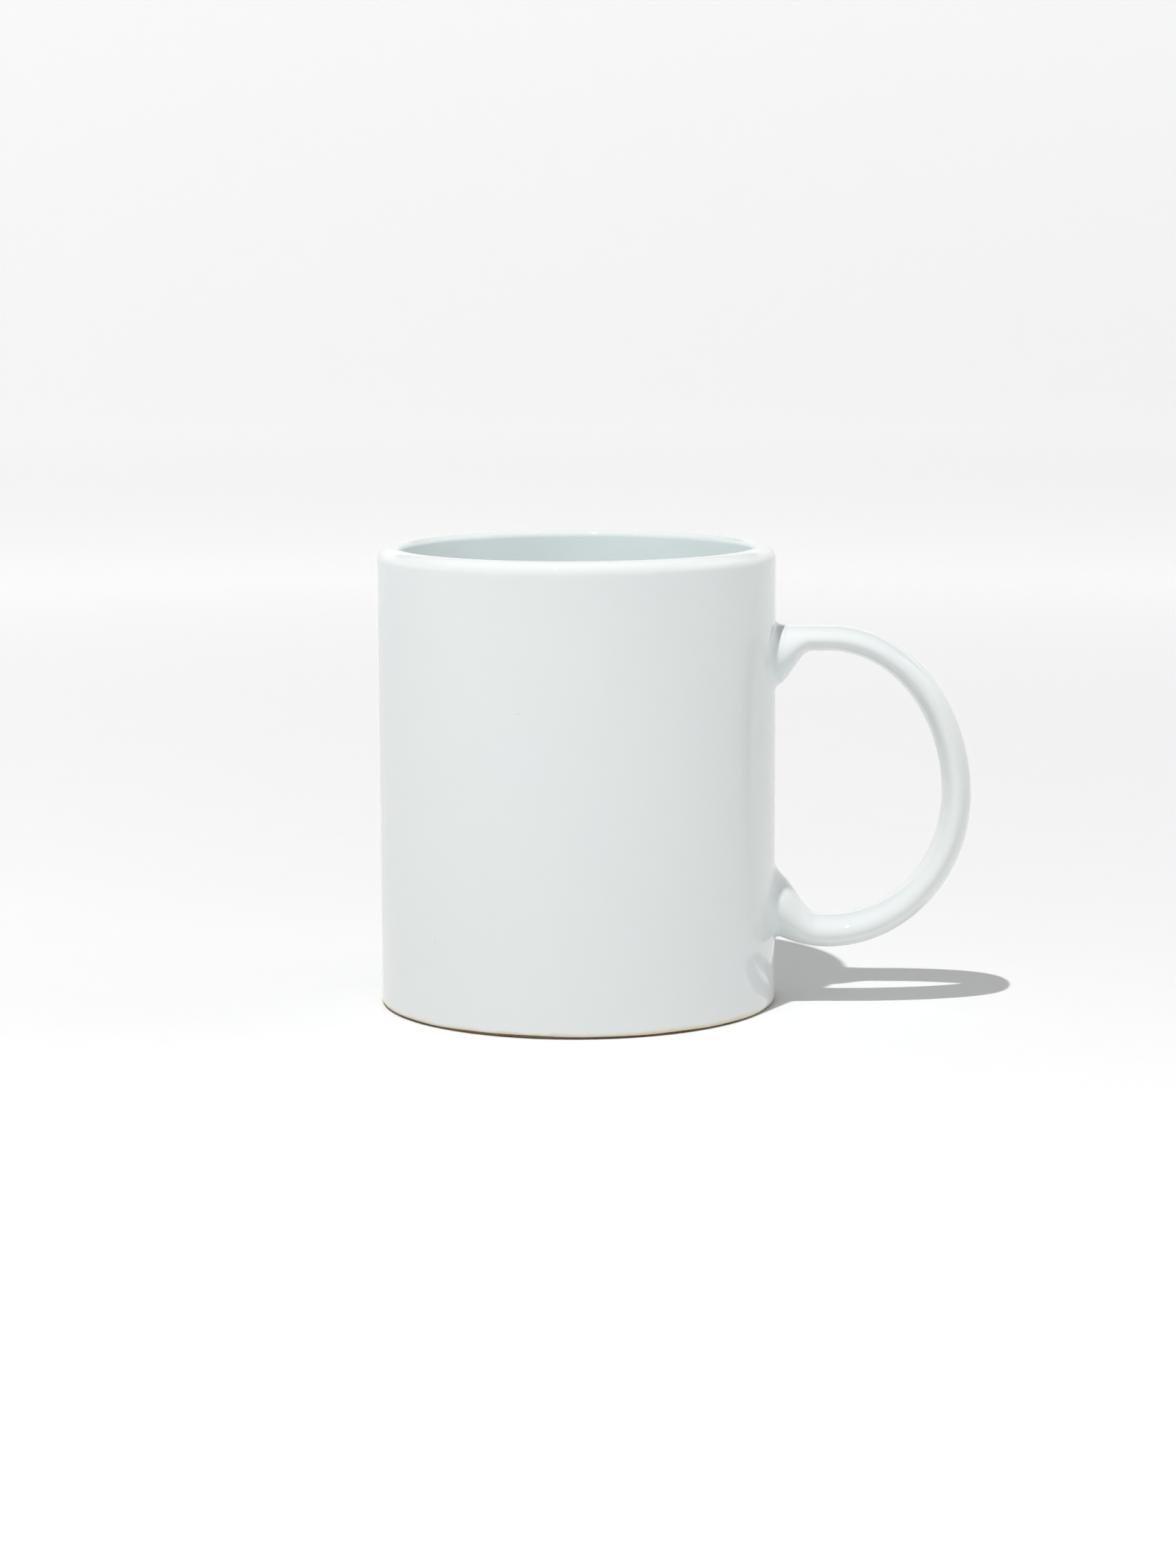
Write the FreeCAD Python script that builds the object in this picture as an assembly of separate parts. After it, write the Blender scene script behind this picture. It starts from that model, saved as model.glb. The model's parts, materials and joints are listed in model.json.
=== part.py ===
# Ceramic mug: a straight fired-clay cup, a loop handle stuck on with two joints of
# slip, and three coats of glaze over them. Millimetres, +Z up. The origin is on the
# mug's axis at the face it stands on, and the handle reaches out along +X.
import FreeCAD
import Part
import os
from math import cos, sin, pi, radians, sqrt

Vector = FreeCAD.Vector
os.makedirs("parts", exist_ok=True)

# ---- finished mug, glaze included ----
mug_radius = 41.0
mug_height = 95.0
wall = 4.7
floor_height = 6.4              # table to the drinking floor
floor_corner = 9.0              # round between the inside wall and the floor
lip_outer_round = 2.7
lip_inner_round = 1.3
glaze = 0.4                     # thickness of every coat

# ---- foot: the bare clay that the mug stands on ----
foot_width = 5.2                # flat ring on the table
foot_recess = 2.2               # depth of the hollow inside the ring
foot_edge = 0.5                 # round on the ring's two edges
bare_foot = 0.5                 # height above the table where the coats stop
recess_corner = 1.1             # round between the ring and the hollow's ceiling

# ---- handle's centre line, in the XZ plane ----
handle_below_rim = 19.1         # rim to its straight top run
handle_bottom = 14.8            # table to its lowest point
handle_peak = 43.4              # table to where the loop stands out furthest
handle_reach = 37.4             # wall to the centre line there
handle_run = 11.0               # wall to where the loop starts to bend

# ---- handle's section: an oval that thickens towards the bottom ----
handle_width = 13.0
handle_thick_top = 5.3
handle_thick_bottom = 6.8
root_width = 17.0               # width where it meets the wall
upper_root_drop = 7.2           # how far the upper root spreads down the wall
upper_root_length = 7.4         # wall to where that spread has died out
lower_root_rise = 6.9           # how far the lower root spreads up the wall
lower_root_length = 8.8

# ---- slip joints ----
slip_layer = 0.6                # slip left between the handle and the wall
bead_side = 6.4                 # spread beside the root, at the bead's buried edge
bead_top = 1.3                  # spread above and below the root, at the wall
bead_reach = 2.4                # spread out along the handle

# ---- worked out from those ----
clay_radius = mug_radius - glaze
clay_top = mug_height - glaze
clay_floor = floor_height - glaze
mouth_radius = mug_radius - wall
clay_mouth_radius = mouth_radius + glaze
lip_middle = (mug_radius - lip_outer_round + mouth_radius + lip_inner_round) / 2
recess_radius = clay_radius - foot_width
recess_round = min(recess_corner, foot_recess - bare_foot - 0.1)
handle_top = mug_height - handle_below_rim
bend_x = mug_radius + handle_run
loop_half = handle_reach - handle_run
past = 5.0                      # how far a cutting solid runs past what it cuts
tuck = 0.5                      # how far a bead's buried edge is inside the wall


def point(r, z):
    return Vector(r, 0, z)


def revolved(corners):
    """A solid of revolution about Z. Each corner is (radius, height, round)."""
    edges, joins = [], []
    for i, (r, z, rounding) in enumerate(corners):
        here = point(r, z)
        if rounding <= 0:
            joins.append((here, here))
            continue
        before = (point(*corners[i - 1][:2]) - here).normalize()
        after = (point(*corners[(i + 1) % len(corners)][:2]) - here).normalize()
        half_angle = before.getAngle(after) / 2
        inward = (before + after).normalize()
        back = rounding * cos(half_angle) / sin(half_angle)
        middle = here + inward * (rounding / sin(half_angle) - rounding)
        joins.append((here + before * back, here + after * back))
        edges.append(Part.Arc(joins[-1][0], middle, joins[-1][1]).toShape())
    for i, (_, start) in enumerate(joins):
        stop = joins[(i + 1) % len(joins)][0]
        if start.distanceToPoint(stop) > 1e-6:
            edges.append(Part.makeLine(start, stop))
    outline = Part.Wire(Part.__sortEdges__(edges))
    return Part.Face(outline).revolve(Vector(0, 0, 0), Vector(0, 0, 1), 360)


def oval(centre, outward, half_width, half_thick):
    """An oval wire from the +Y side round by its crown, which is towards outward."""
    side = Vector(0, half_width, 0)
    crown = outward * half_thick
    if half_width > half_thick:
        ellipse = Part.Ellipse(centre + side, centre + crown, centre)
        first = 0
    else:
        ellipse = Part.Ellipse(centre + crown, centre - side, centre)
        first = -pi / 2
    halves = [Part.ArcOfEllipse(ellipse, first + turn, first + turn + pi) for turn in (0, pi)]
    return Part.Wire([half.toShape() for half in halves])


def bend_oval(angle, grow):
    """The handle's section on its bend, half an ellipse that is taller above the peak."""
    rise = handle_top - handle_peak if angle > 0 else handle_peak - handle_bottom
    centre = point(bend_x + loop_half * cos(angle), handle_peak + rise * sin(angle))
    outward = point(rise * cos(angle), loop_half * sin(angle)).normalize()
    share = (pi / 2 - angle) / pi
    thick = handle_thick_top + (handle_thick_bottom - handle_thick_top) * share
    return oval(centre, outward, handle_width / 2 + grow, thick / 2 + grow)


def root_oval(x, upper, grow_y, grow_z):
    """The handle's section near the wall, upright and spread along one side."""
    length = upper_root_length if upper else lower_root_length
    share = min(max((x - mug_radius) / length, 0.0), 1.0)
    spread = (1 + cos(pi * share)) / 2
    if upper:
        high = handle_top + handle_thick_top / 2
        low = handle_top - handle_thick_top / 2 - upper_root_drop * spread
    else:
        along = (bend_x - x) / loop_half
        line = handle_peak - (handle_peak - handle_bottom) * sqrt(1 - along * along)
        low = line - handle_thick_bottom / 2
        high = line + handle_thick_bottom / 2 + lower_root_rise * spread
    half_width = (handle_width + (root_width - handle_width) * spread) / 2
    return oval(point(x, (high + low) / 2), Vector(0, 0, 1 if upper else -1),
                half_width + grow_y, (high - low) / 2 + grow_z)


def handle_solid(grow):
    """The whole handle, from inside the wall round to inside the wall again."""
    steps = 5
    upper = [mug_radius + upper_root_length * i / steps for i in range(steps + 1)]
    lower = [mug_radius + lower_root_length * i / steps for i in range(steps + 1)]
    buried = mug_radius - wall / 2
    wires = [root_oval(x, True, grow, grow) for x in [buried] + upper]
    wires += [bend_oval(radians(angle), grow) for angle in range(90, -91, -15)]
    wires += [root_oval(x, False, grow, grow) for x in lower[::-1] + [buried]]
    return Part.makeLoft(wires, True)


def bead_solid(upper, grow):
    """The slip round a root: wide on the wall and dying out along the handle."""
    widest = root_width / 2 + bead_side
    buried = sqrt(mug_radius ** 2 - widest ** 2) - tuck
    end = mug_radius + bead_reach
    at_wall = (end - mug_radius) / (end - buried)
    steps = 5
    wires = []
    for i in range(steps + 1):
        left = (1 - i / steps) ** 2
        x = end - (end - buried) * (1 - i / steps) + grow
        wires.append(root_oval(x, upper, grow + bead_side * left - tuck * (1 - left),
                               grow + bead_top / at_wall ** 2 * left - tuck * (1 - left)))
    return Part.makeLoft(wires, True)


def outside(grow, foot, core_radius=0):
    """Everything inside the mug's outer surface, which is moved outwards by grow."""
    top = mug_height + grow
    cup = revolved([(0, foot, 0), (mug_radius + grow, foot, 0),
                    (mug_radius + grow, top, lip_outer_round + grow), (0, top, 0)])
    added = [handle_solid(grow), bead_solid(True, grow), bead_solid(False, grow)]
    if core_radius:
        added.append(Part.makeCylinder(core_radius, top + past - foot, point(0, foot)))
    return cup.fuse(added)


def cup_body():
    return revolved([
        (0, foot_recess, 0),
        (recess_radius, foot_recess, recess_round),
        (recess_radius, 0, foot_edge),
        (clay_radius, 0, foot_edge),
        (clay_radius, clay_top, lip_outer_round - glaze),
        (clay_mouth_radius, clay_top, lip_inner_round - glaze),
        (clay_mouth_radius, clay_floor, floor_corner + glaze),
        (0, clay_floor, 0)])


def handle():
    seat = Part.makeCylinder(clay_radius + slip_layer, mug_height)
    return handle_solid(-glaze).cut(seat)


def slip_joint(upper):
    cup = Part.makeCylinder(clay_radius, mug_height)
    return bead_solid(upper, -glaze).cut([cup, handle()])


def outer_glaze():
    """One coat over the wall, the handle and the outer half of the lip."""
    return outside(0, bare_foot).cut(outside(-glaze, -past, lip_middle))


def liner_glaze():
    """The coat poured into the cup, which meets the outer one along the lip."""
    return revolved([
        (lip_middle, mug_height, 0),
        (mouth_radius, mug_height, lip_inner_round),
        (mouth_radius, floor_height, floor_corner),
        (0, floor_height, 0),
        (0, clay_floor, 0),
        (clay_mouth_radius, clay_floor, floor_corner + glaze),
        (clay_mouth_radius, clay_top, lip_inner_round - glaze),
        (lip_middle, clay_top, 0)])


def base_glaze():
    """The coat in the hollow under the mug."""
    return revolved([
        (0, foot_recess, 0),
        (recess_radius, foot_recess, recess_round),
        (recess_radius, bare_foot, 0),
        (recess_radius - glaze, bare_foot, 0),
        (recess_radius - glaze, foot_recess - glaze, max(recess_round - glaze, 0)),
        (0, foot_recess - glaze, 0)])


pieces = {
    "cup_body": cup_body(),
    "handle": handle(),
    "upper_slip_joint": slip_joint(True),
    "lower_slip_joint": slip_joint(False),
    "outer_glaze": outer_glaze(),
    "liner_glaze": liner_glaze(),
    "base_glaze": base_glaze(),
}
for node, shape in pieces.items():
    print(f"{node}: {len(shape.Solids)} solid, valid {shape.isValid()}, {shape.Volume:.1f} mm3")
    solid = shape.Solids[0] if len(shape.Solids) == 1 else shape
    solid.exportStep(f"parts/{node}.step")
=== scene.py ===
import json
from math import acos, asin, atan2, cos, degrees, exp, pi, radians, sin, sqrt, tan

import bmesh
import bpy
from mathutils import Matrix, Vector


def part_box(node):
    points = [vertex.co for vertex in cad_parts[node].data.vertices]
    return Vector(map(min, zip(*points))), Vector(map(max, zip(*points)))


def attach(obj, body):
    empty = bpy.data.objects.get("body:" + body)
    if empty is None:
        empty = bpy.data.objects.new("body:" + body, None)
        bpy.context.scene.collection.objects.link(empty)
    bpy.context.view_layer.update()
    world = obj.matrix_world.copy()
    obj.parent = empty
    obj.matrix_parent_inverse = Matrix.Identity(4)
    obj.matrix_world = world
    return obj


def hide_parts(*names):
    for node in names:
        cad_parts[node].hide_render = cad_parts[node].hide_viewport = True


# A white mug on a pale sweep: a fired clay cup and handle under three coats of white glaze.
# One coat goes over the wall, the handle and its joints in a single skin.

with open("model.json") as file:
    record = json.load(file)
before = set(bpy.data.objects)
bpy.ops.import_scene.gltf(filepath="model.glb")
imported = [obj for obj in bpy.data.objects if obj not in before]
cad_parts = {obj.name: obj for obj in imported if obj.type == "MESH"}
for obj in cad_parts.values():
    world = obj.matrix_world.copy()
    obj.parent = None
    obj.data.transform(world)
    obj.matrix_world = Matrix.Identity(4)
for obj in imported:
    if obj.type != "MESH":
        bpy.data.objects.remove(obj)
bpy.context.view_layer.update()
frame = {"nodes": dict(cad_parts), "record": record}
scene = bpy.context.scene
mm = 0.001

# camera, light and sweep come first

cameraSetup = {
    "lens": 85.64,          # mm, on a sensor whose long side is 36 mm
    "away": 0.7664,         # metres from the mug's axis
    "turn": 2.7,            # degrees round the mug from straight in front
    "up": 0.160,            # metres above the table
    "tilt": 81.487,         # degrees from looking straight down
    "lean": 0.247,
    "pan": 2.502,
}

lightSetup = {
    "keyPlace": (-0.1126, -0.3182, 1.0),    # metres; a small lamp, high on the left
    "keyPower": 32.0,
    "keyRadius": 0.008,                     # metres, for a crisp-edged shadow
    "skyPower": 0.305,
    "fillFrom": (1.0, 0.2, 0.25),           # a broad, weak light from low on the right
    "fillPower": 0.95,
    "fillSize": 70.0,                       # degrees across
}

sweepSetup = {
    "flatRadius": 2.2,      # metres of level table round the mug
    "bendRadius": 0.8,      # how gently it curves up into the backdrop
    "wallHeight": 1.3,
    "sides": 96,
    "paper": ("#EAEAEA", "#ECECEC"),
    "glow": 0.4,            # light added far from the lamp, so the backdrop stays white
    "glowReach": (0.03, 0.95),      # metres from the mug, where it starts and is full
    "glowInFront": 0.36,    # share of it on the near side of the table
    "frontReach": (-0.6, -0.25),    # metres along Y, between which that share gives way
}


def toLinear(hexColour):
    channels = [int(hexColour[i:i + 2], 16) / 255 for i in (1, 3, 5)]
    linear = [c / 12.92 if c <= 0.04045 else ((c + 0.055) / 1.055) ** 2.4 for c in channels]
    return (*linear, 1.0)


def addNode(tree, kind, values=None, links=None, **settings):
    node = tree.nodes.new(kind)
    for name, value in settings.items():
        setattr(node, name, value)
    for socket, value in (values or {}).items():
        node.inputs[socket].default_value = value
    for socket, source in (links or {}).items():
        tree.links.new(source, node.inputs[socket])
    return node


def startMaterial(name, **constants):
    material = bpy.data.materials.new(name)
    material.use_nodes = True
    tree = material.node_tree
    tree.nodes.clear()
    shader = addNode(tree, "ShaderNodeBsdfPrincipled", values=constants)
    addNode(tree, "ShaderNodeOutputMaterial", links={"Surface": shader.outputs["BSDF"]})
    return material, tree, shader


def link(obj):
    scene.collection.objects.link(obj)
    return obj


def makeCamera(setup):
    data = bpy.data.cameras.new("studioCamera")
    data.lens = setup["lens"]
    data.sensor_width = 36
    data.clip_start = 0.01
    data.clip_end = 50
    camera = link(bpy.data.objects.new("studioCamera", data))
    turn = radians(setup["turn"])
    camera.location = (setup["away"] * sin(turn), -setup["away"] * cos(turn), setup["up"])
    camera.rotation_euler = [radians(setup[part]) for part in ("tilt", "lean", "pan")]
    scene.camera = camera


def makeLights(setup):
    world = bpy.data.worlds.new("studioSky")
    scene.world = world
    world.use_nodes = True
    background = world.node_tree.nodes["Background"]
    background.inputs["Color"].default_value = toLinear("#FFFFFF")
    background.inputs["Strength"].default_value = setup["skyPower"]
    key = bpy.data.lights.new("keyLight", "POINT")
    key.energy = setup["keyPower"]
    key.shadow_soft_size = setup["keyRadius"]
    lamp = link(bpy.data.objects.new("keyLight", key))
    lamp.location = setup["keyPlace"]
    fill = bpy.data.lights.new("fillLight", "SUN")
    fill.energy = setup["fillPower"]
    fill.angle = radians(setup["fillSize"])
    bounce = link(bpy.data.objects.new("fillLight", fill))
    bounce.rotation_euler = Vector(setup["fillFrom"]).to_track_quat("Z", "Y").to_euler()


# Seamless paper sweep: matt and white, with a glow that grows away from the lamp, so that
# the eye sees an even pale backdrop.
def makeCardMaterial(setup):
    material, tree, shader = startMaterial("whiteSweepCard", Roughness=0.9)
    shader.inputs["Specular IOR Level"].default_value = 0.2
    place = addNode(tree, "ShaderNodeTexCoord")
    fibre = addNode(tree, "ShaderNodeTexNoise", {"Scale": 60.0, "Detail": 3.0},
                    {"Vector": place.outputs["Object"]})
    dark, light = [toLinear(shade) for shade in setup["paper"]]
    tone = addNode(tree, "ShaderNodeMix", {6: dark, 7: light}, {0: fibre.outputs[0]},
                   data_type="RGBA")
    tree.links.new(tone.outputs[2], shader.inputs["Base Color"])
    shader.inputs["Emission Color"].default_value = toLinear("#FFFFFF")
    far = addNode(tree, "ShaderNodeVectorMath", None, {0: place.outputs["Object"]},
                  operation="LENGTH")
    start, full = setup["glowReach"]
    climb = addNode(tree, "ShaderNodeMapRange", {1: start, 2: full, 3: 0.0, 4: setup["glow"]},
                    {0: far.outputs["Value"]})
    # less of it on the near side, which the lamp lights least and the mug's front mirrors
    split = addNode(tree, "ShaderNodeSeparateXYZ", None, {0: place.outputs["Object"]})
    front, back = setup["frontReach"]
    behind = addNode(tree, "ShaderNodeMapRange",
                     {1: front, 2: back, 3: setup["glowInFront"], 4: 1.0},
                     {0: split.outputs["Y"]}, interpolation_type="SMOOTHSTEP")
    glow = addNode(tree, "ShaderNodeMath", None, {0: climb.outputs[0], 1: behind.outputs[0]},
                   operation="MULTIPLY")
    tree.links.new(glow.outputs[0], shader.inputs["Emission Strength"])
    return material


def makeSweep(setup):
    bend, flat = setup["bendRadius"], setup["flatRadius"]
    profile = [(flat * i / 10, 0.0) for i in range(1, 11)]
    profile += [(flat + bend * sin(radians(a)), bend - bend * cos(radians(a)))
                for a in range(5, 91, 5)]
    profile.append((flat + bend, setup["wallHeight"]))
    sides = setup["sides"]
    verts = [(0, 0, 0)]
    for r, z in profile:
        verts += [(r * cos(2 * pi * j / sides), r * sin(2 * pi * j / sides), z)
                  for j in range(sides)]
    faces = [(0, 1 + j, 1 + (j + 1) % sides) for j in range(sides)]
    for i in range(len(profile) - 1):
        for j in range(sides):
            here, there = 1 + i * sides + j, 1 + i * sides + (j + 1) % sides
            faces.append((here, here + sides, there + sides, there))
    mesh = bpy.data.meshes.new("sweep")
    mesh.from_pydata(verts, [], faces)
    mesh.shade_smooth()
    mesh.materials.append(makeCardMaterial(setup))
    link(bpy.data.objects.new("sweep", mesh))


makeCamera(cameraSetup)
makeLights(lightSetup)
makeSweep(sweepSetup)
scene.view_settings.view_transform = "Standard"     # keeps whites as white as they are
print("camera, light and sweep are in place")

# finishes

glazeSetup = {
    "white": "#E0E4E3",         # white stoneware glaze with the faintest cool tint
    # pooled is also laid round the joints, where it is partly thick glaze and partly painted
    # shade
    "pooled": "#DDE3E4",        # thicker glaze is a shade bluer
    "thin": "#E7E8E6",          # drawn thin over the lip
    # liner: lighter and bluer than the outer white, painted light that makes the inside of the
    # cup as bright and as blue as it looks under the lamp
    "liner": "#EEF7F7",
    "speck": "#8C7B66",
    "fringe": "#D8CCAF",
    "ior": 1.5,
    "roughness": (0.02, 0.04),
    "driftSize": 28.0,          # mm between slow changes of tone
    "driftShare": 0.4,          # how far those go towards the pooled tone
    "rimFade": (1.6, 0.2),      # mm under the rim, where the liner starts and ends to fade
    "waveSize": 11.0,           # mm between the soft waves of melted glass
    "waveHeight": 0.022,        # mm
    "speckSpacing": 9.0,        # mm
    "speckRadius": 0.2,         # mm
    "speckRarity": 0.8,         # share of the cells that stay plain
    "speckStrength": 0.6,
    "fringeHeight": 0.9,        # mm of thin glaze over the bare foot
    "raggedSize": 6,            # mm between the fringe's ups and downs
    "raggedHeight": 1.2,        # mm that they go up and down
}

claySetup = {
    # these clay tones are darker than the buff clay: partly the clay's own colour, partly
    # painted shade for the dark line where the foot meets the table
    "light": "#8C7A5E",
    "dark": "#65553F",
    "grit": 0.35,               # mm, coarser than real grog so that it shows
    "gritHeight": 0.05,         # mm
    "patchSize": 5,             # mm between darker and lighter patches
    "slip": "#CFC0A4",
}


def mixOver(tree, base, hexColour, share):
    return addNode(tree, "ShaderNodeMix", {7: toLinear(hexColour)}, {0: share, 6: base},
                   data_type="RGBA").outputs[2]


# Gloss white stoneware glaze: melted in the kiln to a hard, wet-looking glass that lies in
# faint waves, a little bluer where it is thick, with a rare iron speck. The bluer tone round the
# joints is partly painted shade, and the liner's lighter, bluer white is painted light.
def makeGlaze(name, colour, setup, footEdge, lipTop):
    material, tree, shader = startMaterial(name, IOR=setup["ior"])
    place = addNode(tree, "ShaderNodeTexCoord").outputs["Object"]
    height = addNode(tree, "ShaderNodeSeparateXYZ", None, {0: place}).outputs["Z"]
    drift = addNode(tree, "ShaderNodeTexNoise", {"Scale": 1 / (setup["driftSize"] * mm),
                    "Detail": 2.0}, {"Vector": place}).outputs[0]
    tone = addNode(tree, "ShaderNodeMapRange",
                   {1: 0.3, 2: 0.7, 3: 0.0, 4: setup["driftShare"]}, {0: drift})
    base = addNode(tree, "ShaderNodeMix", {6: toLinear(colour), 7: toLinear(setup["pooled"])},
                   {0: tone.outputs[0]}, data_type="RGBA").outputs[2]
    # the liner's lighter, bluer tone, which is painted light, fades into the outer coat's white
    # as it comes over the lip
    low, high = [lipTop - under * mm for under in setup["rimFade"]]
    rim = addNode(tree, "ShaderNodeMapRange", {1: low, 2: high}, {0: height},
                  interpolation_type="SMOOTHSTEP").outputs[0]
    base = mixOver(tree, base, setup["white"], rim)
    thin = addNode(tree, "ShaderNodeAttribute", attribute_name="thinGlaze").outputs["Fac"]
    base = mixOver(tree, base, setup["thin"], thin)
    # a bluer tone round the joints: partly glaze lying thick, partly painted shade where the
    # handle meets the wall
    deep = addNode(tree, "ShaderNodeAttribute", attribute_name="deepGlazeAndJointShade").outputs["Fac"]
    base = mixOver(tree, base, setup["pooled"], deep)
    # specks: one cell in five holds one
    cells = addNode(tree, "ShaderNodeTexVoronoi", {"Scale": 1 / (setup["speckSpacing"] * mm)},
                    {"Vector": place})
    share = setup["speckRadius"] / setup["speckSpacing"]
    near = addNode(tree, "ShaderNodeMapRange", {1: share * 0.5, 2: share, 3: 1.0, 4: 0.0},
                   {0: cells.outputs["Distance"]}).outputs[0]
    lot = addNode(tree, "ShaderNodeSeparateColor", None, {0: cells.outputs["Color"]})
    chosen = addNode(tree, "ShaderNodeMath", {1: setup["speckRarity"]}, {0: lot.outputs[0]},
                     operation="GREATER_THAN").outputs[0]
    faint = addNode(tree, "ShaderNodeMath", {1: setup["speckStrength"]}, {0: chosen},
                    operation="MULTIPLY")
    speck = addNode(tree, "ShaderNodeMath", None, {0: near, 1: faint.outputs[0]},
                    operation="MULTIPLY").outputs[0]
    base = mixOver(tree, base, setup["speck"], speck)
    # buff fringe where the glaze was wiped thin above the foot
    ragged = addNode(tree, "ShaderNodeTexNoise", {"Scale": 1 / (setup["raggedSize"] * mm),
                     "Detail": 3.0}, {"Vector": place}).outputs[0]
    swing = setup["raggedHeight"]
    shift = addNode(tree, "ShaderNodeMath", {1: -swing * mm, 2: swing / 2 * mm}, {0: ragged},
                    operation="MULTIPLY_ADD").outputs[0]
    level = addNode(tree, "ShaderNodeMath", None, {0: height, 1: shift}, operation="ADD")
    fringe = addNode(tree, "ShaderNodeMapRange",
                     {1: footEdge, 2: footEdge + setup["fringeHeight"] * mm, 3: 1.0, 4: 0.0},
                     {0: level.outputs[0]}, interpolation_type="SMOOTHSTEP").outputs[0]
    base = mixOver(tree, base, setup["fringe"], fringe)
    tree.links.new(base, shader.inputs["Base Color"])
    wave = addNode(tree, "ShaderNodeTexNoise", {"Scale": 1 / (setup["waveSize"] * mm),
                   "Detail": 1.5}, {"Vector": place}).outputs[0]
    smooth, rough = setup["roughness"]
    gloss = addNode(tree, "ShaderNodeMapRange", {1: 0.3, 2: 0.7, 3: smooth, 4: rough},
                    {0: drift})
    tree.links.new(gloss.outputs[0], shader.inputs["Roughness"])
    bump = addNode(tree, "ShaderNodeBump", {"Distance": setup["waveHeight"] * mm},
                   {"Height": wave})
    tree.links.new(bump.outputs[0], shader.inputs["Normal"])
    return material


# Bisque: bare fired clay, dry and matt, with grog and iron in the body.
def makeBisque(name, light, dark, setup):
    material, tree, shader = startMaterial(name, Roughness=0.88)
    place = addNode(tree, "ShaderNodeTexCoord").outputs["Object"]
    grain = addNode(tree, "ShaderNodeTexNoise", {"Scale": 1 / (setup["grit"] * mm),
                    "Detail": 4.0, "Roughness": 0.6}, {"Vector": place}).outputs[0]
    patch = addNode(tree, "ShaderNodeTexNoise", {"Scale": 1 / (setup["patchSize"] * mm),
                    "Detail": 2.0}, {"Vector": place}).outputs[0]
    mottle = addNode(tree, "ShaderNodeMath", None, {0: grain, 1: patch},
                     operation="ADD").outputs[0]
    spread = addNode(tree, "ShaderNodeMapRange", {1: 0.75, 2: 1.25}, {0: mottle}).outputs[0]
    tone = addNode(tree, "ShaderNodeMix", {6: toLinear(dark), 7: toLinear(light)},
                   {0: spread}, data_type="RGBA").outputs[2]
    tree.links.new(tone, shader.inputs["Base Color"])
    bump = addNode(tree, "ShaderNodeBump", {"Distance": setup["gritHeight"] * mm},
                   {"Height": grain})
    tree.links.new(bump.outputs[0], shader.inputs["Normal"])
    return material


outerLow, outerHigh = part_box("outer_glaze")
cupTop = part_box("cup_body")[1].z
linerLow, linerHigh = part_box("liner_glaze")
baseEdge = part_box("base_glaze")[0].z
mugHeight = outerHigh.z
mugRadius = outerHigh.y
footEdge = outerLow.z
coat = mugHeight - cupTop
mouthRadius = next(m["dims"]["r_mm"] for m in frame["record"]["mounts"]
                   if m["name"] == "mouth") * mm
lipSeam = linerHigh.y
drinkFloor = linerLow.z + coat

whiteGlaze = makeGlaze("glossWhiteStonewareGlaze", glazeSetup["white"], glazeSetup,
                       footEdge, mugHeight)
noFringe = -20 * mm             # the liner is nowhere near the foot
# the liner's colour is painted light: a lighter, bluer copy of the white glaze
linerGlazePaintedLight = makeGlaze("pouredLinerGlazePaintedLight", glazeSetup["liner"], glazeSetup,
                             noFringe, mugHeight)
# the bare clay is darkened as painted shade where the foot meets the table
bareClayAndFootShade = makeBisque("bisqueStonewareAndFootShade", claySetup["light"], claySetup["dark"], claySetup)
firedSlip = makeBisque("firedJoiningSlip", claySetup["slip"], claySetup["light"], claySetup)
print("finishes are mixed")

# what is thrown on the wheel: cup, liner coat, base coat

cupSetup = {
    "footWidth": 5.2,           # mm, flat ring on the table
    "footRecess": 2.2,          # mm, hollow inside the ring
    "recessRound": 1.1,
    "footRound": 0.5,
    "lipOuterRound": 2.7,       # mm over the glaze
    "lipInnerRound": 1.3,
    "floorRound": 9.0,
    "stepsRound": 256,
    "arcStep": 9.0,             # degrees between the rings of a round
    "longStep": 3.0,            # mm between the rings of a straight
    "weld": 0.001,              # mm
    "sharpFrom": 30,            # degrees
}


def roundedProfile(corners, arcStep, longStep):
    points = []
    count = len(corners)
    for i, (r, z, rounding) in enumerate(corners):
        here = Vector((r, z))
        if rounding <= 0:
            points.append(here)
            continue
        before = (Vector(corners[i - 1][:2]) - here).normalized()
        after = (Vector(corners[(i + 1) % count][:2]) - here).normalized()
        half = acos(max(-1, min(1, before.dot(after)))) / 2
        centre = here + (before + after).normalized() * rounding / sin(half)
        start = here + before * rounding / tan(half)
        stop = here + after * rounding / tan(half)
        first = atan2(*(start - centre).yx)
        turn = (atan2(*(stop - centre).yx) - first + pi) % (2 * pi) - pi
        steps = max(3, round(degrees(abs(turn)) / arcStep))
        for k in range(steps + 1):
            angle = first + turn * k / steps
            points.append(centre + Vector((cos(angle), sin(angle))) * rounding)
    filled = []
    for i, here in enumerate(points):
        after = points[(i + 1) % len(points)]
        length = (after - here).length
        filled.append(here)
        if length > longStep:
            # a ring close to each end holds the round's shading off the straight
            ease = min(0.25 * mm / length, 0.2)
            cuts = max(1, round(length / longStep))
            shares = [ease] + [k / cuts for k in range(1, cuts)] + [1 - ease]
            filled += [here.lerp(after, share) for share in shares]
    return filled + [points[0]]


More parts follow.
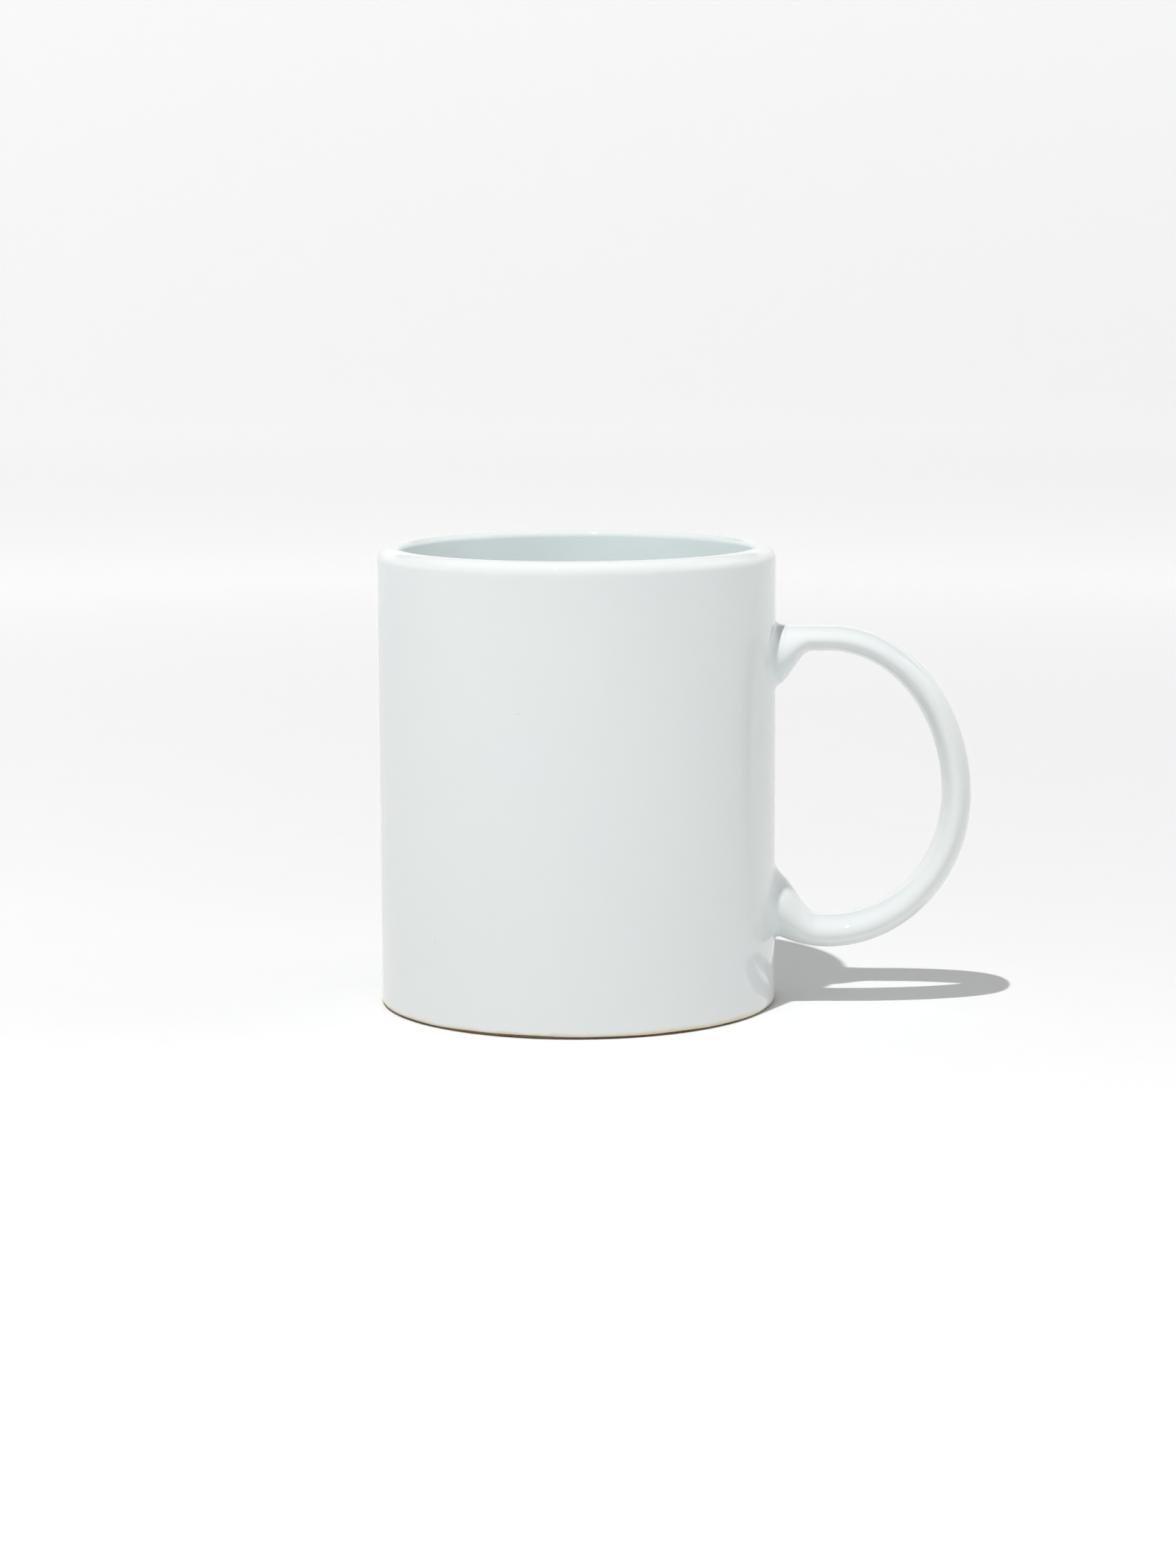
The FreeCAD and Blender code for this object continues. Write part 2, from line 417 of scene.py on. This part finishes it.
def makeLatheTree():
    tree = bpy.data.node_groups.new("thrownOnTheWheel", "GeometryNodeTree")
    face = tree.interface
    face.new_socket("Profile", in_out="INPUT", socket_type="NodeSocketGeometry")
    face.new_socket("Steps Round", in_out="INPUT", socket_type="NodeSocketInt")
    face.new_socket("Weld Distance", in_out="INPUT", socket_type="NodeSocketFloat")
    face.new_socket("Finish", in_out="INPUT", socket_type="NodeSocketMaterial")
    face.new_socket("Piece", in_out="OUTPUT", socket_type="NodeSocketGeometry")
    given = addNode(tree, "NodeGroupInput")
    size = addNode(tree, "GeometryNodeAttributeDomainSize", None,
                   {0: given.outputs["Profile"]}, component="MESH")
    columns = addNode(tree, "ShaderNodeMath", {1: 1.0}, {0: given.outputs["Steps Round"]},
                      operation="ADD")
    grid = addNode(tree, "GeometryNodeMeshGrid", {"Size X": 1.0, "Size Y": 1.0},
                   {"Vertices X": size.outputs["Point Count"],
                    "Vertices Y": columns.outputs[0]})
    spot = addNode(tree, "GeometryNodeInputPosition")
    parts = addNode(tree, "ShaderNodeSeparateXYZ", None, {0: spot.outputs[0]})
    last = addNode(tree, "ShaderNodeMath", {1: 1.0}, {0: size.outputs["Point Count"]},
                   operation="SUBTRACT")
    along = addNode(tree, "ShaderNodeMath", {1: 0.5}, {0: parts.outputs["X"]},
                    operation="ADD")
    scaled = addNode(tree, "ShaderNodeMath", None, {0: along.outputs[0], 1: last.outputs[0]},
                     operation="MULTIPLY")
    row = addNode(tree, "ShaderNodeMath", None, {0: scaled.outputs[0]}, operation="ROUND")
    profileSpot = addNode(tree, "GeometryNodeInputPosition")
    sample = addNode(tree, "GeometryNodeSampleIndex", None,
                     {"Geometry": given.outputs["Profile"], "Value": profileSpot.outputs[0],
                      "Index": row.outputs[0]}, data_type="FLOAT_VECTOR", domain="POINT")
    turn = addNode(tree, "ShaderNodeMath", {1: 2 * pi, 2: pi}, {0: parts.outputs["Y"]},
                   operation="MULTIPLY_ADD")
    spun = addNode(tree, "ShaderNodeVectorRotate", None,
                   {"Vector": sample.outputs[0], "Angle": turn.outputs[0]},
                   rotation_type="Z_AXIS")
    placed = addNode(tree, "GeometryNodeSetPosition", None,
                     {"Geometry": grid.outputs["Mesh"], "Position": spun.outputs[0]})
    welded = addNode(tree, "GeometryNodeMergeByDistance", None,
                     {"Geometry": placed.outputs[0],
                      "Distance": given.outputs["Weld Distance"]})
    smooth = addNode(tree, "GeometryNodeSetShadeSmooth", None,
                     {"Geometry": welded.outputs[0]})
    real = addNode(tree, "GeometryNodeRealizeInstances", None,
                   {"Geometry": smooth.outputs[0]})
    painted = addNode(tree, "GeometryNodeSetMaterial", None,
                      {"Geometry": real.outputs[0], "Material": given.outputs["Finish"]})
    addNode(tree, "NodeGroupOutput", None, {0: painted.outputs[0]})
    return tree


def plainMesh(obj, name, sharpAngle):
    bpy.context.view_layer.update()
    evaluated = obj.evaluated_get(bpy.context.evaluated_depsgraph_get())
    mesh = bpy.data.meshes.new_from_object(evaluated)
    mesh.name = name
    obj.modifiers.clear()
    work = bmesh.new()
    work.from_mesh(mesh)
    bmesh.ops.recalc_face_normals(work, faces=work.faces)
    work.to_mesh(mesh)
    work.free()
    mesh.set_sharp_from_angle(angle=radians(sharpAngle))
    return mesh


def makePiece(name, mesh, slotName, *nodes):
    piece = link(bpy.data.objects.new(name, mesh))
    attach(piece, "root")
    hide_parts(*nodes)


def throwPiece(name, corners, finish, setup):
    points = roundedProfile(corners, setup["arcStep"], setup["longStep"] * mm)
    profile = bpy.data.meshes.new(name + "Profile")
    profile.from_pydata([(p.x, 0, p.y) for p in points], [], [])
    maker = link(bpy.data.objects.new(name + "Maker", profile))
    modifier = maker.modifiers.new("lathe", "NODES")
    modifier.node_group = latheTree
    sockets = {s.name: s.identifier for s in latheTree.interface.items_tree
               if s.in_out == "INPUT"}
    modifier[sockets["Steps Round"]] = setup["stepsRound"]
    modifier[sockets["Weld Distance"]] = setup["weld"] * mm
    modifier[sockets["Finish"]] = finish
    mesh = plainMesh(maker, name, setup["sharpFrom"])
    bpy.data.objects.remove(maker)
    return mesh


latheTree = makeLatheTree()
clayRadius, clayMouth = mugRadius - coat, mouthRadius + coat
recessRadius = clayRadius - cupSetup["footWidth"] * mm
recess = cupSetup["footRecess"] * mm
lipOuter, lipInner = cupSetup["lipOuterRound"] * mm, cupSetup["lipInnerRound"] * mm
floorRound = cupSetup["floorRound"] * mm
footRound = cupSetup["footRound"] * mm
recessRound = cupSetup["recessRound"] * mm
sliver = 0.02 * mm              # keeps a coat's back off the clay it lies on

cupMesh = throwPiece("cupBody", [
    (0, recess, 0),
    (recessRadius, recess, recessRound),
    (recessRadius, 0, footRound),
    (clayRadius, 0, footRound),
    (clayRadius, cupTop, lipOuter - coat),
    (clayMouth, cupTop, lipInner - coat),
    (clayMouth, drinkFloor - coat, floorRound + coat),
    (0, drinkFloor - coat, 0)], bareClayAndFootShade, cupSetup)
makePiece("cupBody", cupMesh, "fired_clay", "cup_body")

linerBack = coat - sliver
linerMesh = throwPiece("linerGlaze", [
    (lipSeam, mugHeight, 0),
    (mouthRadius, mugHeight, lipInner),
    (mouthRadius, drinkFloor, floorRound),
    (0, drinkFloor, 0),
    (0, drinkFloor - linerBack, 0),
    (mouthRadius + linerBack, drinkFloor - linerBack, floorRound + linerBack),
    (mouthRadius + linerBack, mugHeight - linerBack, lipInner - linerBack),
    (lipSeam, mugHeight - linerBack, 0)], linerGlazePaintedLight, cupSetup)
makePiece("linerGlaze", linerMesh, "liner_glaze", "liner_glaze")

baseMesh = throwPiece("baseGlaze", [
    (0, recess - sliver, 0),
    (recessRadius - sliver, recess - sliver, recessRound),
    (recessRadius - sliver, baseEdge, 0),
    (recessRadius - coat, baseEdge, 0),
    (recessRadius - coat, recess - coat, recessRound - coat),
    (0, recess - coat, 0)], whiteGlaze, cupSetup)
makePiece("baseGlaze", baseMesh, "base_glaze", "base_glaze")
print("cup, liner coat and base coat are thrown")

# the outer coat: wall, handle and joints in one skin

handleSetup = {
    "belowRim": 19.1,           # mm, rim to the centre line of the straight top run
    "run": 11.0,                # mm, wall to where the loop starts to bend
    "peak": 43.4,               # mm, table to where the loop stands out furthest
    "bottom": 14.8,             # mm, table to the centre line's lowest point
    "width": 13.0,
    "thickTop": 5.3,
    "thickBottom": 6.8,
    "rootWidth": 17.0,
    "ringStep": 0.85,           # mm between the rings of the skin along the handle
}

# mm: drop and length are how far the root spreads on the wall and along the handle; side,
# top and bottom how far the wiped slip spreads past it on the wall; reachSide, reachTop and
# reachBottom how far the slip comes out along the handle; crease the depth of the notch
# where it stops; seam the depth of a line along the root's edge
upperJoint = {"drop": 7.2, "length": 7.4, "side": 3.6, "top": 1.25, "bottom": 1.3,
              "reachSide": 2.1, "reachTop": 2.3, "reachBottom": 1.3,
              "crease": 0.2, "seam": 0.0}
lowerJoint = {"drop": 6.9, "length": 8.8, "side": 4.9, "top": 1.3, "bottom": 1.6,
              "reachSide": 2.7, "reachTop": 2.5, "reachBottom": 1.7,
              "crease": 0.05, "seam": 0.17}
seamSetup = {"height": 0.87, "softness": 0.06, "end": 8, "fade": 3}

# mm past the slip, and the share of the crease's depth there
creaseRings = ((0.14, 0.7), (0.3, 1.0), (0.5, 0.55), (0.75, 0.15), (1.1, 0.0))

skinSetup = {
    "columns": 256,
    "holeColumns": 32,          # of those, taken up by a joint
    "holeRows": 24,
    "lowerHole": (8.6, 32.4),   # mm, heights between which the lower joint's rings lie
    "upperHole": (61.0, 84.0),
    "rowStep": 1.4,             # mm between the rows of the plain wall
    "collarRings": 7,
    "filletRings": 11,
    "rootRings": 10,
    "pastRoot": 1.2,            # mm past the root's end, to where the handle is plain
    "footRows": (0.3, 0.8, 1.5, 2.4, 3.5, 4.8),     # mm over the coat's rolled edge
    "lipRows": (0.2, 0.4, 0.6, 0.8, 0.94),          # shares of the wall over the joints
    "sharpFrom": 40,            # degrees
    "thickness": 0.34,          # mm
    "edgeRound": 0.28,          # mm, the rolled edge of the coat above the foot
    "wipeWave": 0.09,           # mm, how unevenly that edge was wiped
    "wipeFade": 2.2,            # mm up the wall, to where the rows are level again
}

# mm: where the glaze ran thin over the lip, and where it lay deep round the joints; the bluer
# tint there is partly thick glaze and partly painted shade
shadeSetup = {"lipDrop": 0.5, "lipSpread": 1.6, "lipShare": 0.35,
              "jointOut": 1.6, "jointSpread": 2.4, "jointClear": 0.05}

sideCount = 2 * (skinSetup["holeColumns"] + skinSetup["holeRows"])
sideAngles = [2 * pi * i / sideCount for i in range(sideCount)]
lineTop = mugHeight - handleSetup["belowRim"] * mm
linePeak = handleSetup["peak"] * mm
lineBottom = handleSetup["bottom"] * mm
bendX = mugRadius + handleSetup["run"] * mm
outermost = outerHigh.x
middleThick = (handleSetup["thickTop"] + handleSetup["thickBottom"]) / 2 * mm
loopHalf = outermost - middleThick / 2 - bendX


def rootSection(x, upper):
    # centre height, half width and half thickness of the handle at x, near the wall
    joint = upperJoint if upper else lowerJoint
    share = min(max((x - mugRadius) / (joint["length"] * mm), 0), 1)
    spread = (1 + cos(pi * share)) / 2
    grown = joint["drop"] * mm * spread
    if upper:
        line, thick = lineTop, handleSetup["thickTop"] * mm
        middle = line - grown / 2
    else:
        line = linePeak - (linePeak - lineBottom) * sqrt(1 - ((bendX - x) / loopHalf) ** 2)
        thick = handleSetup["thickBottom"] * mm
        middle = line + grown / 2
    width = handleSetup["width"] + (handleSetup["rootWidth"] - handleSetup["width"]) * spread
    return middle, width * mm / 2, (thick + grown) / 2


def rootPoint(x, angle, upper):
    middle, halfWidth, halfThick = rootSection(x, upper)
    crown = 1 if upper else -1
    seam = (upperJoint if upper else lowerJoint)["seam"] * mm
    if seam:
        fade = min(max((mugRadius + seamSetup["end"] * mm - x) / (seamSetup["fade"] * mm), 0), 1)
        above = (crown * sin(angle) - seamSetup["height"]) / seamSetup["softness"]
        dip = seam * fade * exp(-above ** 2)
        halfWidth, halfThick = halfWidth - dip, halfThick - dip
    return Vector((x, halfWidth * cos(angle), middle + crown * halfThick * sin(angle)))


def rootPointAt(radius, angle, upper):
    # the point of the root's surface that lies at this distance from the mug's axis
    x = radius
    for _ in range(12):
        x = sqrt(radius ** 2 - rootPoint(x, angle, upper).y ** 2)
    return rootPoint(x, angle, upper)


def toRound(p):
    return Vector((atan2(p.y, p.x), p.z, sqrt(p.x ** 2 + p.y ** 2)))


def fromRound(p):
    return Vector((p.z * cos(p.x), p.z * sin(p.x), p.y))


def jointRings(upper):
    # from the edge of the wiped slip on the wall, out to where the handle is plain
    joint = upperJoint if upper else lowerJoint
    middle, halfWidth, halfThick = rootSection(mugRadius, upper)
    rings = []
    edges, corners, ends, reaches, ups = [], [], [], [], []
    for angle in sideAngles:
        up = sin(angle) if upper else -sin(angle)
        spread = joint["top"] if up > 0 else joint["bottom"]
        away = joint["reachTop"] if up > 0 else joint["reachBottom"]
        reach = (joint["reachSide"] + (away - joint["reachSide"]) * up ** 2) * mm
        side = (halfWidth + joint["side"] * mm) * cos(angle)
        edges.append(Vector((asin(side / mugRadius), middle + up * (halfThick + spread * mm),
                             mugRadius)))
        corners.append(toRound(rootPointAt(mugRadius, angle, upper)))
        ends.append(toRound(rootPointAt(mugRadius + reach, angle, upper)))
        reaches.append(reach)
        ups.append(up)
    rings.append([fromRound(p) for p in edges])
    steps = skinSetup["filletRings"]
    for k in range(1, steps + 1):
        t = (k / steps) ** 0.9
        rings.append([fromRound(a * (1 - t) ** 2 + b * 2 * t * (1 - t) + c * t ** 2)
                      for a, b, c in zip(edges, corners, ends)])
    # a soft crease where the slip stops, then the root's own surface
    plainX = mugRadius + (joint["length"] + skinSetup["pastRoot"]) * mm
    for extra, depth in creaseRings:
        ring = []
        for angle, reach, up in zip(sideAngles, reaches, ups):
            p = rootPointAt(mugRadius + reach + extra * mm, angle, upper)
            centre = Vector((p.x, 0, rootSection(p.x, upper)[0]))
            strength = joint["crease"] * mm * depth * max(0, up) ** 1.5
            ring.append(p + (centre - p).normalized() * strength)
        rings.append(ring)
    creaseEnd = creaseRings[-1][0] * mm
    last = [rootPointAt(mugRadius + reach + creaseEnd, angle, upper).x
            for angle, reach in zip(sideAngles, reaches)]
    steps = skinSetup["rootRings"]
    for k in range(1, steps + 1):
        rings.append([rootPoint(x + (plainX - x) * k / steps, angle, upper)
                      for x, angle in zip(last, sideAngles)])
    return rings


def loopRings():
    # the plain part of the handle, from one joint's last ring to the other's
    step = handleSetup["ringStep"] * mm
    startX = mugRadius + (upperJoint["length"] + skinSetup["pastRoot"]) * mm
    count = max(1, round((bendX - startX) / step))
    rings = [[rootPoint(startX + (bendX - startX) * k / count, angle, True)
              for angle in sideAngles] for k in range(1, count)]
    turns = round(pi * (loopHalf + (lineTop - lineBottom) / 2) / 2 / step)
    for k in range(turns + 1):
        turn = pi / 2 - pi * k / turns
        rise = lineTop - linePeak if turn > 0 else linePeak - lineBottom
        centre = Vector((bendX + loopHalf * cos(turn), 0, linePeak + rise * sin(turn)))
        outward = Vector((rise * cos(turn), 0, loopHalf * sin(turn))).normalized()
        thick = handleSetup["thickTop"] + (handleSetup["thickBottom"]
                                           - handleSetup["thickTop"]) * k / turns
        across = Vector((0, handleSetup["width"] * mm / 2, 0))
        rings.append([centre + across * cos(a) + outward * (thick * mm / 2 * sin(a))
                      for a in sideAngles])
    stopX = mugRadius + (lowerJoint["length"] + skinSetup["pastRoot"]) * mm
    count = max(1, round((bendX - stopX) / step))
    rings += [[rootPoint(bendX + (stopX - bendX) * k / count, angle, False)
               for angle in sideAngles] for k in range(1, count)]
    return rings


def wallRows():
    # (radius, height) up the wall and over the lip, and the rows where the joints sit
    setup = skinSetup
    edge = setup["edgeRound"] * mm
    rows = [(mugRadius - edge + edge * sin(radians(a)), footEdge + edge - edge * cos(radians(a)))
            for a in (0, 22, 45, 68, 90)]
    heights = [footEdge + edge + extra * mm for extra in setup["footRows"]]
    spans = []
    for low, high in (setup["lowerHole"], setup["upperHole"]):
        gap = low * mm - heights[-1]
        steps = max(1, round(gap / (setup["rowStep"] * mm)))
        start = heights[-1]
        heights += [start + gap * k / steps for k in range(1, steps + 1)]
        spans.append(len(rows) + len(heights) - 1)
        step = (high - low) * mm / setup["holeRows"]
        heights += [low * mm + step * k for k in range(1, setup["holeRows"] + 1)]
    lipStart = mugHeight - lipOuter
    gap = lipStart - heights[-1]
    heights += [heights[-1] + gap * k for k in setup["lipRows"]]
    rows += [(mugRadius, z) for z in heights]
    rows += [(mugRadius - lipOuter + lipOuter * cos(radians(a)),
              lipStart + lipOuter * sin(radians(a))) for a in range(0, 91, 6)]
    rows += [(lipSeam + (mugRadius - lipOuter - lipSeam) * 0.5, mugHeight),
             (lipSeam, mugHeight)]
    return rows, spans


def makeSkin():
    setup = skinSetup
    columns, holeColumns, holeRows = setup["columns"], setup["holeColumns"], setup["holeRows"]
    rows, spans = wallRows()
    verts, faces, grid = [], [], {}

    def insideHole(row, column):
        return (min(column, columns - column) < holeColumns / 2
                and any(s < row < s + holeRows for s in spans))

    for row, (r, z) in enumerate(rows):
        for column in range(columns):
            if insideHole(row, column):
                continue
            turn = 2 * pi * column / columns
            wipe = (sin(3 * turn + 0.7) + 0.6 * sin(7 * turn + 2.1) + 0.35 * sin(17 * turn))
            fade = max(0, 1 - (z - footEdge) / (setup["wipeFade"] * mm))
            height = z + setup["wipeWave"] * mm * wipe * fade
            grid[row, column] = len(verts)
            verts.append(Vector((r * cos(turn), r * sin(turn), height)))

    def holeAt(row, column):
        across = (column + columns // 2) % columns - columns // 2
        return (-holeColumns / 2 <= across < holeColumns / 2
                and any(s <= row < s + holeRows for s in spans))

    for row in range(len(rows) - 1):
        for column in range(columns):
            if holeAt(row, column):
                continue
            after = (column + 1) % columns
            faces.append([grid[row, column], grid[row, after],
                          grid[row + 1, after], grid[row + 1, column]])

    def holeEdge(start, crown):
        # the hole's edge in the order of sideAngles, from the +Y side towards the crown
        wide, high = holeColumns // 2, holeRows // 2
        walk = [(wide, v) for v in range(0, high)]
        walk += [(u, high) for u in range(wide, -wide, -1)]
        walk += [(-wide, v) for v in range(high, -high, -1)]
        walk += [(u, -high) for u in range(-wide, wide)]
        walk += [(wide, v) for v in range(-high, 0)]
        return [grid[start + high + crown * v, u % columns] for u, v in walk]

    def collar(edge, ring):
        # rings on the wall, from the hole's edge in to the slip's edge
        steps = setup["collarRings"]
        outer = [toRound(verts[i]) for i in edge]
        inner = [toRound(p) for p in ring]
        return [[fromRound(a.lerp(b, k / steps)) for a, b in zip(outer, inner)]
                for k in range(1, steps)]

    upperEdge, lowerEdge = holeEdge(spans[1], 1), holeEdge(spans[0], -1)
    upperRings, lowerRings = jointRings(True), jointRings(False)
    chain = collar(upperEdge, upperRings[0]) + upperRings + loopRings()
    chain += (collar(lowerEdge, lowerRings[0]) + lowerRings)[::-1]
    numbered = [upperEdge]
    for ring in chain:
        numbered.append(list(range(len(verts), len(verts) + sideCount)))
        verts += ring
    numbered.append(lowerEdge)
    for here, there in zip(numbered, numbered[1:]):
        for i in range(sideCount):
            j = (i + 1) % sideCount
            faces.append([here[i], here[j], there[j], there[i]])
    return verts, faces


def shadeCoat(mesh, setup):
    thin = mesh.attributes.new("thinGlaze", "FLOAT", "POINT")
    deep = mesh.attributes.new("deepGlazeAndJointShade", "FLOAT", "POINT")
    for i, vertex in enumerate(mesh.vertices):
        p = vertex.co
        fromAxis = sqrt(p.x ** 2 + p.y ** 2)
        lip = max(0, 1 - abs(p.z - (mugHeight - setup["lipDrop"] * mm))
                  / (setup["lipSpread"] * mm))
        thin.data[i].value = setup["lipShare"] * lip
        # bluer tone on the root next to the wall: partly thick glaze, partly painted shade
        near = max(0, 1 - abs(fromAxis - mugRadius - setup["jointOut"] * mm)
                   / (setup["jointSpread"] * mm))
        onJoint = fromAxis > mugRadius + setup["jointClear"] * mm
        deep.data[i].value = near if onJoint else 0


verts, faces = makeSkin()
skin = bpy.data.meshes.new("outerGlazeSkin")
skin.from_pydata(verts, [], faces)
skin.shade_smooth()
skinMaker = link(bpy.data.objects.new("skinMaker", skin))
thicken = skinMaker.modifiers.new("coatThickness", "SOLIDIFY")
thicken.thickness = skinSetup["thickness"] * mm
thicken.offset = -1
coatMesh = plainMesh(skinMaker, "outerGlaze", skinSetup["sharpFrom"])
bpy.data.objects.remove(skinMaker)
shadeCoat(coatMesh, shadeSetup)
coatMesh.materials.append(whiteGlaze)
makePiece("outerGlaze", coatMesh, "outer_glaze", "outer_glaze")
print("the outer coat is on:", len(coatMesh.polygons), "faces")

# clay and slip that the frame already has, under the glaze

for node, finish in (("handle", bareClayAndFootShade), ("upper_slip_joint", firedSlip),
                     ("lower_slip_joint", firedSlip)):
    slots = frame["nodes"][node].data.materials
    slots.clear()
    slots.append(finish)

print("the mug is finished")
